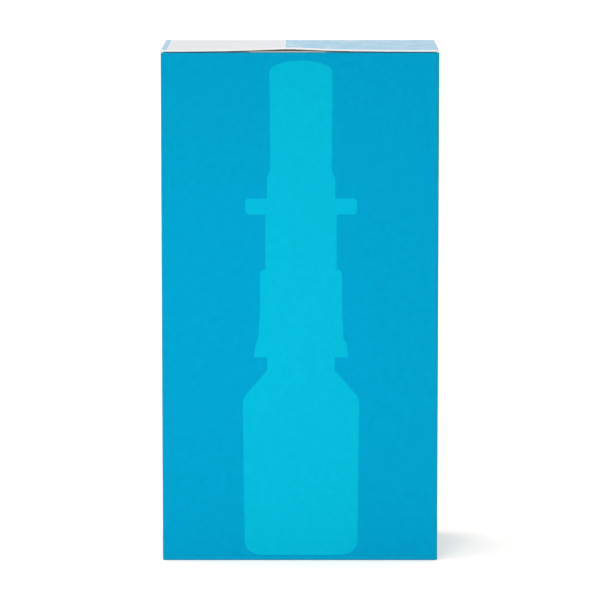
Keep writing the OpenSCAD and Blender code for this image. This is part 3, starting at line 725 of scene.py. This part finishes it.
# the lid still lies turned round here, so its left is at +X
pick("FACE", lambda f: middle(f).y > crease_r and -field_right < middle(f).x < -field_left)
paint(SECOND)
score(lid)
place_flap(lid, half_d, lid_top, BACK)


def lid_rise(place):
    """How far the lid stands up at a place, from its fold to its free edge."""
    share = min(max((lid_high.y - place.y) / (lid_high.y - lid_low.y), 0), 1)
    return crest_rise * share**crest_power / (1 + ((place.x - crest_x) / crest_w) ** 2)


for corner in lid.data.vertices:
    corner.co.z += lid_rise(corner.co)


def bend_at_fold(piece):
    """Bakes the flap's placing into its mesh."""
    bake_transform(piece)


bend_at_fold(lid)
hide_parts("top_outer_flap")
report(lid)

# %% [markdown]
# ## The inner flap and the dust flaps
# Under the lid the front panel folds in as a half-deep flap, and the side panels as two tapered dust
# flaps. Only their folds carry ink: past the fold the board is bare white coat. Between the spots of glue
# the inner flap springs up right behind its fold and pushes the lid up, and its white shows there in the
# slit under the lid's front edge. The ink stops nearer to the fold there, and the flap stays a little
# under its solid, which leaves a dark line between it and the lid.

# %% Fold the top flaps
flap_corner = 1.6 * MM
ink_over = 0.12 * MM
inner_slant = 1.5 * MM
dust_slants = (0.62, 0.56)

inner_reach = inner_high.y + half_d
dust_reach = dust_high.x + half_w
inner_tips = [root_wide - inner_slant] * 2


def finish_flap(piece, edge, level, turn, at_bottom=False):
    """Bares the flap past its fold, gives it its board and puts it in place."""
    pick("FACE", lambda f: middle(f).y > crease_r + ink_over)
    paint(SECOND)
    score(piece)
    place_flap(piece, edge, level, turn, at_bottom)
    report(piece)


spring_w = 11.7 * MM
spring_run = 0.45 * MM
spring_power = 4
slit_room = 0.1 * MM
spring_rise = inner_high.z - inner_top - slit_room
bare_w = 9 * MM
spring_rows = [0.06, 0.12, 0.2, 0.3, 0.45, 0.8, 1.3, 2, 3, 5, 8, 11]
spring_columns = 24

inner = folded_flap("inner_flap_board", inner_reach, root_wide, inner_tips, flap_corner)
for row in spring_rows:
    cut_all((0, crease_r + row * MM, 0), (0, 1, 0))
for i in range(spring_columns + 1):
    cut_all((crest_x + spring_w * (2 * i / spring_columns - 1), 0, 0), (1, 0, 0))
pick("FACE", lambda f: middle(f).y > crease_r + ink_over / 2 and abs(middle(f).x - crest_x) < bare_w)
paint(SECOND)
finish_flap(inner, half_d, inner_top, FRONT)


def inner_rise(place):
    """How far the inner flap stands up: steeply behind its fold, then down to its free edge."""
    across = max(0, 1 - ((place.x - crest_x) / spring_w) ** spring_power)
    past = place.y + half_d - crease_r
    near = math.sin(math.pi / 2 * min(max(past / spring_run, 0), 1))
    far = min((inner_reach - crease_r - past) / (inner_reach - crease_r - spring_run), 1)
    return spring_rise * across * near * far


for corner in inner.data.vertices:
    corner.co.z += inner_rise(corner.co)
bend_at_fold(inner)
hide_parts("top_inner_flap")

# seen from its fold, the left flap's front edge is on its right
for side, turn in (("left", LEFT), ("right", RIGHT)):
    slants = dust_slants if side == "right" else dust_slants[::-1]
    tips = [root_deep - s * dust_reach for s in slants]
    dust = folded_flap(f"{side}_dust_flap_board", dust_reach, root_deep, tips, flap_corner)
    finish_flap(dust, half_w, dust_top, turn)
    bend_at_fold(dust)
    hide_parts(f"top_{side}_dust_flap")

# %% [markdown]
# ## The bottom
# The bottom closes in the same order, but turned round: its outer flap folds from the front panel, so no
# cut edge shows at the front. Glue keeps it shut, so these flaps ride on the carton and need no blend.

# %% Fold the bottom flaps
bottom_slant = 0.12
bottom_tips = [root_deep - bottom_slant * dust_reach] * 2

bottom = full_flap("bottom_outer_board")
score(bottom)
place_flap(bottom, half_d, lid_top, BACK, at_bottom=True)
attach(bottom, "carton")
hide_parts("bottom_outer_flap")
report(bottom)

inner = folded_flap("bottom_inner_board", inner_reach, root_wide, inner_tips, flap_corner)
finish_flap(inner, half_d, inner_top, FRONT, at_bottom=True)
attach(inner, "carton")
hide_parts("bottom_inner_flap")

for side, turn in (("left", LEFT), ("right", RIGHT)):
    dust = folded_flap(f"bottom_{side}_dust_board", dust_reach, root_deep, bottom_tips, flap_corner)
    finish_flap(dust, half_w, dust_top, turn, at_bottom=True)
    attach(dust, "carton")
    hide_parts(f"bottom_{side}_dust_flap")

# %% [markdown]
# ## The leaflet
# One thin sheet, folded to and fro into a flat pack that stands behind the bottles. It is drawn as a
# zigzag of upright panels, its turns are bevelled round, and a Displace modifier with a broad cloud
# texture takes the panels out of true together, so that they don't run into each other.

# %% Fold the leaflet
leaflet_low, leaflet_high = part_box("folded_leaflet")
paper = 0.2 * MM
panel_count = 8
turn_share = 0.48
turn_segments = 4
cuts_up = 12
cuts_across = 8
wave_size = 45 * MM
wave_depth = 0.5 * MM
pitch = (leaflet_high.y - leaflet_low.y - paper) / (panel_count - 1)
leaflet_x = leaflet_high.x - paper / 2
leaflet_h = leaflet_high.z - leaflet_low.z
first_y = leaflet_low.y + paper / 2

leaflet = start_sheet(
    "leaflet_sheet",
    2 * leaflet_x,
    leaflet_h,
    centre=(0, first_y, leaflet_low.z + leaflet_h / 2),
    turn=(math.pi / 2, 0, 0),
)
pick("EDGE", lambda e: middle(e).x > leaflet_x - MM)
for i in range(1, panel_count):
    extrude(y=pitch)
    extrude(x=2 * leaflet_x * (-1) ** i)


def is_turn(edge):
    place = middle(edge)
    upright = abs(edge.verts[0].co.z - edge.verts[1].co.z) > MM
    return upright and abs(abs(place.x) - leaflet_x) < CLOSE and len(edge.link_faces) == 2


pick("EDGE", is_turn)
round_edges(turn_share * pitch, turn_segments)
for i in range(1, cuts_up):
    cut_all((0, 0, leaflet_low.z + leaflet_h * i / cuts_up), (0, 0, 1))
for i in range(1, cuts_across):
    cut_all((leaflet_x * (2 * i / cuts_across - 1), 0, 0), (1, 0, 0))
bpy.ops.object.mode_set(mode="OBJECT")

waves = bpy.data.textures.new("paper_waves", "CLOUDS")
waves.noise_scale = wave_size
wavy = leaflet.modifiers.new("wavy", "DISPLACE")
wavy.texture = waves
wavy.texture_coords = "LOCAL"
wavy.direction = "Y"
wavy.strength = wave_depth
bpy.ops.object.modifier_apply(modifier="wavy")
sheet = leaflet.modifiers.new("paper", "SOLIDIFY")
sheet.thickness = paper / 2
sheet.offset = 0
bpy.ops.object.modifier_apply(modifier="paper")
smooth(leaflet, angle=50)

leaflet_paper = matt_finish(
    "leaflet_paper",
    dark=(0.80, 0.80, 0.77),
    light=(0.88, 0.88, 0.85),
    patch=0.5 * MM,
    roughness=0.85,
    depth=0.01 * MM,
    stretch=(1, 1, 3),
)
shader_of(leaflet_paper).inputs["Subsurface Weight"].default_value = 0.1
leaflet.data.materials.append(leaflet_paper)
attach(leaflet, "carton")
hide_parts("folded_leaflet")
report(leaflet)

# %% [markdown]
# ## Plastics, glass and metal
# The pump is moulded in white and in milky plastic, the bottle is amber glass with a clear liquid, the
# spring and the ball are steel. All but the caps and the springs have their right shape already, so these
# nodes stay and only get their finish here. Moulded plastic is smooth with a faint orange peel, and a
# little light goes into it.

# %% Make the bottle's finishes
peel_size = 0.6 * MM
peel_depth = 0.01 * MM
cloud_size = 4 * MM
cloud_tone = (0.97, 1.02)
gloss_range = (0.85, 1.2)
light_reach = 0.5 * MM


def moulded(name, colour, roughness, **sockets):
    """Moulded plastic: a slightly uneven gloss and a faint orange peel."""
    finish = new_finish(name, colour, roughness, Subsurface_Scale=light_reach, **sockets)
    skin = grain(finish, peel_size)
    gloss = [share * roughness for share in gloss_range]
    use_for(finish, spread(finish, skin, *gloss), "Roughness")
    cloud = spread(finish, grain(finish, cloud_size), 0, 1)
    tones = [tint(colour, share) for share in cloud_tone]
    use_for(finish, blend_colour(finish, cloud, *tones), "Base Color")
    emboss(finish, skin, peel_depth, strength=0.5)
    return finish


white_plastic = moulded("white_plastic", (0.84, 0.85, 0.85), roughness=0.36, Subsurface_Weight=0.15)
milky_plastic = moulded(
    "milky_plastic", (0.80, 0.82, 0.82), roughness=0.3, Transmission_Weight=0.45, IOR=1.5
)
cap_plastic = moulded("cap_plastic", (0.02, 0.40, 0.62), roughness=0.24, Subsurface_Weight=0.08)
amber_glass = moulded(
    "amber_glass", (0.62, 0.24, 0.035), roughness=0.04, Transmission_Weight=1.0, IOR=1.52
)
clear_liquid = moulded(
    "clear_liquid", (0.95, 0.97, 0.96), roughness=0.02, Transmission_Weight=1.0, IOR=1.34
)
gasket_rubber = matt_finish(
    "gasket_rubber",
    dark=(0.03, 0.03, 0.035),
    light=(0.05, 0.05, 0.055),
    patch=0.3 * MM,
    roughness=0.7,
    depth=0.01 * MM,
)
set_glue = moulded(
    "set_glue", (0.78, 0.70, 0.48), roughness=0.3, Transmission_Weight=0.25, IOR=1.48
)

drawn_steel = new_finish("drawn_steel", (0.62, 0.63, 0.65), roughness=0.28, Metallic=1.0)
draw_marks = grain(drawn_steel, size=0.08 * MM, detail=3, stretch=(1, 1, 6))
use_for(drawn_steel, spread(drawn_steel, draw_marks, low=0.2, high=0.38), "Roughness")
emboss(drawn_steel, draw_marks, depth=0.004 * MM, strength=0.5)

NODE_FINISHES = {
    "bottle": amber_glass,
    "solution": clear_liquid,
    "collar": white_plastic,
    "gasket": gasket_rubber,
    "pump_body": milky_plastic,
    "stem_guide": white_plastic,
    "dip_tube": milky_plastic,
    "check_ball": drawn_steel,
    "piston": white_plastic,
    "stem": white_plastic,
    "nozzle": white_plastic,
    "spray_insert": milky_plastic,
    "glue_spots": set_glue,
}
for name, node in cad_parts.items():
    kind = name.split("_", 1)[1]
    if kind in NODE_FINISHES:
        node.data.materials.clear()
        node.data.materials.append(NODE_FINISHES[kind])
print(len(NODE_FINISHES), "kinds of node have their finish")

# %% [markdown]
# ## The caps
# A cap is a thin cup: a straight band that grips the nozzle, a short slope and a long barrel with a domed
# end. An inner outline, a wall's thickness in, closes the outer one. Spin turns both round the bottle's
# axis, and merging the doubles closes the seam and the pole.


# %% Turn the caps
def turned(name, profile, axis, steps=72):
    """A profile of (radius, height) points, spun round an upright axis."""
    piece = trace(name, [(axis.x + r, axis.y, z) for r, z in profile])
    bpy.ops.mesh.spin(steps=steps, angle=2 * math.pi, center=(axis.x, axis.y, 0), axis=(0, 0, 1))
    bpy.ops.mesh.select_all(action="SELECT")
    bpy.ops.mesh.remove_doubles(threshold=2 * MERGE)
    bpy.ops.mesh.normals_make_consistent(inside=False)
    bpy.ops.object.mode_set(mode="OBJECT")
    smooth(piece)
    return piece


cap_low, cap_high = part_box("left_cap")
cap_wall = 1.15 * MM
foot_r = 0.3 * MM
dome_h = 2.7 * MM
band_h = 4.9 * MM
slope_h = 1.5 * MM
slope_w = 0.62 * MM

band_top = cap_low.z + band_h
barrel_low = band_top + slope_h
band_r = (cap_high.x - cap_low.x) / 2
barrel_r = band_r - slope_w
dome_z = cap_high.z - dome_h
grip_r = band_r - cap_wall
bore_r = barrel_r - cap_wall

cap_profile = (
    [(grip_r + foot_r, cap_low.z)]
    + arc((band_r - foot_r, cap_low.z + foot_r), (foot_r, foot_r), -90, 0, steps=4)
    + [(band_r, band_top), (barrel_r, barrel_low)]
    + arc((0, dome_z), (barrel_r, dome_h), 0, 90, steps=16)
    + arc((0, dome_z), (bore_r, dome_h - cap_wall), 90, 0, steps=12)
    + [(bore_r, barrel_low), (grip_r, band_top), (grip_r, cap_low.z + foot_r)]
)
for side in ("left", "right"):
    low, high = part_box(f"{side}_cap")
    cap = turned(f"{side}_cap_shell", cap_profile, (low + high) / 2)
    cap.data.materials.append(cap_plastic)
    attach(cap, f"{side}_sprayer")
    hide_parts(f"{side}_cap")
    report(cap)

# %% [markdown]
# ## The return springs
# A spring is a circle of wire, carried round and up. The Screw modifier does both at once, and a fill
# closes the two cut ends. The pump squeezes the spring from above.

# %% Wind the springs
wire_d = 0.6 * MM
wire_sides = 12
spring_turns = 6
turn_steps = 28

for side in ("left", "right"):
    low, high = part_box(f"{side}_return_spring")
    axis = (low + high) / 2
    coil_r = (high.x - low.x - wire_d) / 2
    rise = high.z - low.z - wire_d

    bpy.ops.object.select_all(action="DESELECT")
    bpy.ops.mesh.primitive_circle_add(
        vertices=wire_sides, radius=wire_d / 2, location=(coil_r, 0, 0), rotation=(math.pi / 2, 0, 0)
    )
    spring = bpy.context.object
    spring.name = f"{side}_spring_wire"
    spring.data.name = spring.name
    bpy.ops.object.transform_apply(location=True, rotation=True, scale=True)
    screw = spring.modifiers.new("winding", "SCREW")
    screw.axis = "Z"
    screw.angle = 2 * math.pi
    screw.iterations = spring_turns
    screw.screw_offset = rise / spring_turns
    screw.steps = turn_steps
    screw.render_steps = turn_steps
    screw.use_merge_vertices = False
    bpy.ops.object.modifier_apply(modifier="winding")
    spring.location = (axis.x, axis.y, low.z + wire_d / 2)
    bpy.ops.object.transform_apply(location=True, rotation=True, scale=True)
    bpy.ops.object.mode_set(mode="EDIT")
    bpy.ops.mesh.select_all(action="SELECT")
    bpy.ops.mesh.fill_holes(sides=wire_sides)
    bpy.ops.mesh.select_all(action="SELECT")
    bpy.ops.mesh.normals_make_consistent(inside=False)
    bpy.ops.object.mode_set(mode="OBJECT")
    smooth(spring, angle=40)

    spring.data.materials.clear()
    spring.data.materials.append(drawn_steel)
    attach(spring, "carton")
    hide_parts(f"{side}_return_spring")
    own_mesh(spring)
    report(spring)

# %% [markdown]
# ## Floor and light
# The floor and the world are white to the camera and to reflections, and only pale to the light that
# falls on the carton, so a white background costs no extra light. The floor keeps the shadow: part of its
# white is plain emission, the rest is what the lamps give it, on a white that is a little warm, because
# the carton throws cyan on it. A high sun, a little from the left, makes the short soft shadow on the
# right. Wide and weak ones from behind and from the front fill those sides. A small softbox on the
# front's left is near enough to light its middle most.

# %% Build the stage
FLOOR_SEEN = (0.98, 0.905, 0.85)
FLOOR_BOUNCE = (0.62, 0.62, 0.62)
floor_glow = 0.3
floor_size = 40
floor_drop = 0.02 * MM
sky_light = 0.3

bpy.ops.object.select_all(action="DESELECT")
bpy.ops.mesh.primitive_plane_add(size=floor_size, location=(0, 0, -floor_drop))
floor = bpy.context.object
floor.name = "floor"


def seen_rays(tree):
    """1 for rays from the camera, a reflection or through glass, 0 for light that falls on a surface."""
    path = tree.nodes.new("ShaderNodeLightPath")
    total = path.outputs["Is Camera Ray"]
    for ray in ("Is Glossy Ray", "Is Transmission Ray"):
        both = tree.nodes.new("ShaderNodeMath")
        both.operation = "MAXIMUM"
        tree.links.new(total, both.inputs[0])
        tree.links.new(path.outputs[ray], both.inputs[1])
        total = both.outputs[0]
    return total


def between(tree, low, high):
    """The low value for light that falls on a surface, and the high one where the surface is seen."""
    node = tree.nodes.new("ShaderNodeMapRange")
    node.inputs["To Min"].default_value = low
    node.inputs["To Max"].default_value = high
    tree.links.new(seen_rays(tree), node.inputs["Value"])
    return node.outputs["Result"]


floor_white = new_finish(
    "floor_white", FLOOR_SEEN, roughness=1, Specular_IOR_Level=0, Emission_Color=(1, 1, 1, 1)
)
floor_seen = seen_rays(floor_white.node_tree)
use_for(floor_white, blend_colour(floor_white, floor_seen, FLOOR_BOUNCE, FLOOR_SEEN), "Base Color")
use_for(floor_white, between(floor_white.node_tree, 0, floor_glow), "Emission Strength")
floor.data.materials.append(floor_white)

world = bpy.context.scene.world or bpy.data.worlds.new("world")
bpy.context.scene.world = world
world.use_nodes = True
sky = world.node_tree.nodes["Background"]
sky.inputs["Color"].default_value = (1, 1, 1, 1)
world.node_tree.links.new(between(world.node_tree, sky_light, 1), sky.inputs["Strength"])


def add_sun(name, come_from, level, spread_angle):
    """A wide sun; at level 1 it shows a white card that faces it as white."""
    bpy.ops.object.light_add(type="SUN")
    sun = bpy.context.object
    sun.name = name
    sun.data.energy = math.pi * level
    sun.data.angle = math.radians(spread_angle)
    sun.rotation_euler = Vector(come_from).to_track_quat("Z", "Y").to_euler()


def add_softbox(name, place, aim, size, level):
    """A square softbox that the camera doesn't see; its level is a sun's, at the point it is aimed at."""
    way = Vector(place) - Vector(aim)
    bpy.ops.object.light_add(type="AREA", location=place)
    box = bpy.context.object
    box.name = name
    box.data.size = size
    box.data.energy = math.pi**2 * way.length_squared * level
    box.rotation_euler = way.to_track_quat("Z", "Y").to_euler()
    box.visible_camera = False


add_sun("high_light", come_from=(-0.19, 0, 0.97), level=0.45, spread_angle=28)
add_sun("back_fill", come_from=(0.45, 0.62, 0.64), level=0.24, spread_angle=40)
add_sun("front_light", come_from=(-0.1, -0.92, 0.38), level=0.2, spread_angle=50)
add_softbox(
    "front_softbox",
    place=(-32 * MM, -half_d - 190 * MM, 52 * MM),
    aim=(0, -half_d, 0.4 * lid_top),
    size=60 * MM,
    level=0.405,
)
print("stage: floor, sky, three suns and a softbox")

# %% [markdown]
# ## View settings
# The Standard view transform shows a colour as it is written.

# %% Finish
bpy.context.scene.view_settings.view_transform = "Standard"
